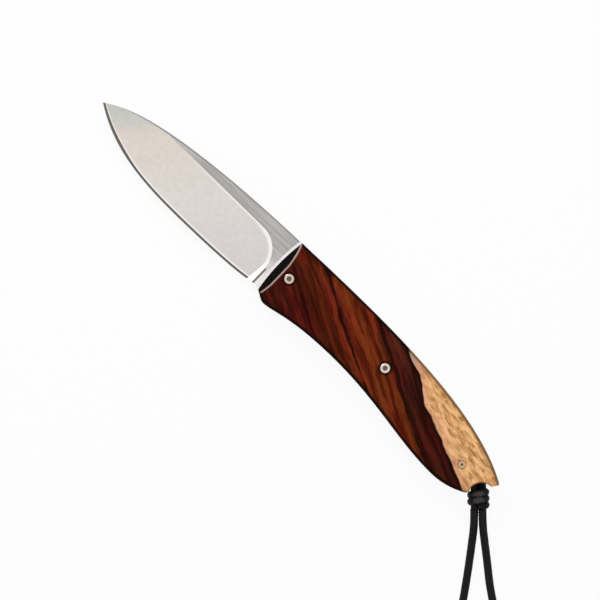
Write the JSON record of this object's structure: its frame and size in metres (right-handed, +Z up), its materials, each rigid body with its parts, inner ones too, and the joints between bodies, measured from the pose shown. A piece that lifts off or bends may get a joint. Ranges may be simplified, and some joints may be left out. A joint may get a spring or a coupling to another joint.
{
  "type": "folding pocket knife",
  "caption": "Slip-joint folding pocket knife with a flat-ground drop-point blade, curved wooden scales on steel liners and a short cord lanyard.",
  "frame": {"origin": "on the blade's pivot axis, in the plane of the lower scale's flat face", "axes": "+X along the handle from the pivot to the butt, +Y from the belly to the spine, +Z up through the handle's thickness; the open blade points along -X"},
  "size_m": [0.2083, 0.0644, 0.0125],
  "materials": {
    "blade_steel": "satin, ground",
    "spring_steel": "satin",
    "pin_steel": "satin",
    "screw_steel": "polished",
    "liner_steel": "polished edge",
    "washer_bronze": "satin",
    "scale_wood": "oiled, with pale sapwood",
    "lanyard_cord": "black, braided"
  },
  "bodies": {
    "handle": {"back_spring": "spring_steel", "spring_mid_pin": "pin_steel", "spring_tail_pin": "pin_steel", "pivot_barrel": "pin_steel", "lanyard_pin": "pin_steel", "lower_pivot_screw": "screw_steel", "upper_pivot_screw": "screw_steel", "lower_mid_screw": "screw_steel", "upper_mid_screw": "screw_steel", "lower_liner": "liner_steel", "upper_liner": "liner_steel", "lower_washer": "washer_bronze", "upper_washer": "washer_bronze", "lower_scale": "scale_wood", "upper_scale": "scale_wood", "lanyard_eye": "lanyard_cord", "lanyard_knot": "lanyard_cord", "lanyard_cord": "lanyard_cord"},
    "blade": {"blade": "blade_steel"}
  },
  "joints": [
    {"name": "blade_fold", "type": "hinge", "parent": "handle", "child": "blade", "pos_m": [0, 0, 0.00627], "axis": [0, 0, 1], "range_deg": [0, 172], "deforming": ["back_spring"]}
  ]
}
